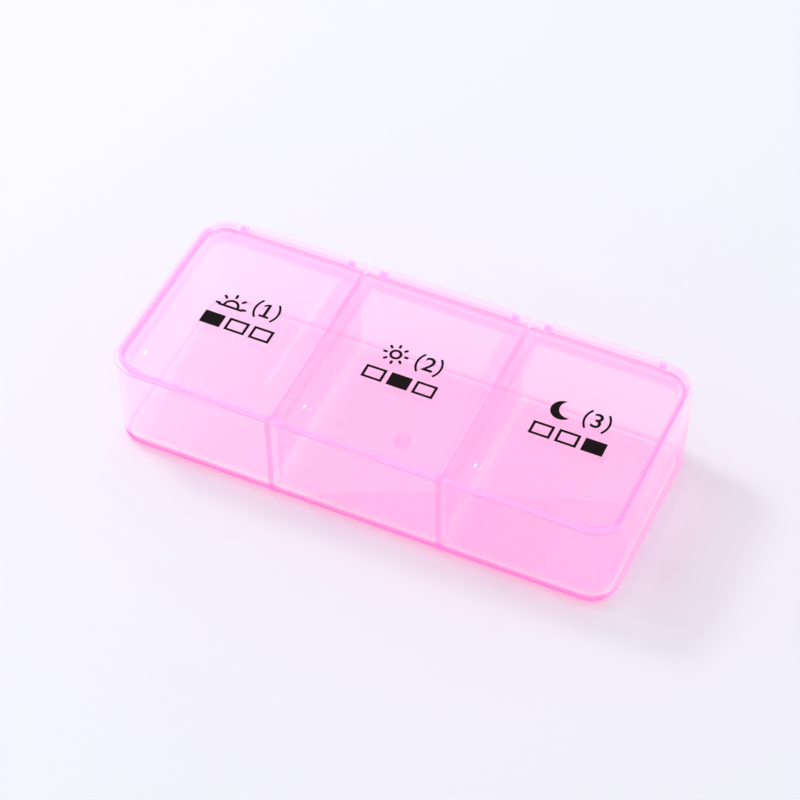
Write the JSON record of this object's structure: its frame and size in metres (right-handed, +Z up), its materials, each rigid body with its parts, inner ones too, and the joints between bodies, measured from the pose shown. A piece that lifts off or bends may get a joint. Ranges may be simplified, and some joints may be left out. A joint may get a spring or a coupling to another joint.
{
  "type": "daily pill organizer",
  "caption": "Translucent rounded tray divided into equal pill compartments in a row, each with its own snap lid hinged at the back and lifted by a thumb lip at the front.",
  "frame": {"origin": "centre of the tray's flat base", "axes": "+X along the length, to the right of someone who faces the thumb lips; +Y to the hinge side; +Z up"},
  "size_m": [0.1, 0.044, 0.0208],
  "materials": {
    "clear_pink": "translucent pink moulded polypropylene, smooth with a soft gloss",
    "print_ink": "black printing ink on top of the lids"
  },
  "bodies": {
    "tray": {"tray": "clear_pink"},
    "left_lid": {"left_lid": "clear_pink"},
    "middle_lid": {"middle_lid": "clear_pink"},
    "right_lid": {"right_lid": "clear_pink"}
  },
  "joints": [
    {"name": "left_lid_hinge", "type": "hinge", "parent": "tray", "child": "left_lid", "pos_m": [-0.03118, 0.0209, 0.01955], "axis": [-1, 0, 0], "range_deg": [0, 180]},
    {"name": "middle_lid_hinge", "type": "hinge", "parent": "tray", "child": "middle_lid", "pos_m": [0, 0.0209, 0.01955], "axis": [-1, 0, 0], "range_deg": [0, 180]},
    {"name": "right_lid_hinge", "type": "hinge", "parent": "tray", "child": "right_lid", "pos_m": [0.03118, 0.0209, 0.01955], "axis": [-1, 0, 0], "range_deg": [0, 180]}
  ]
}
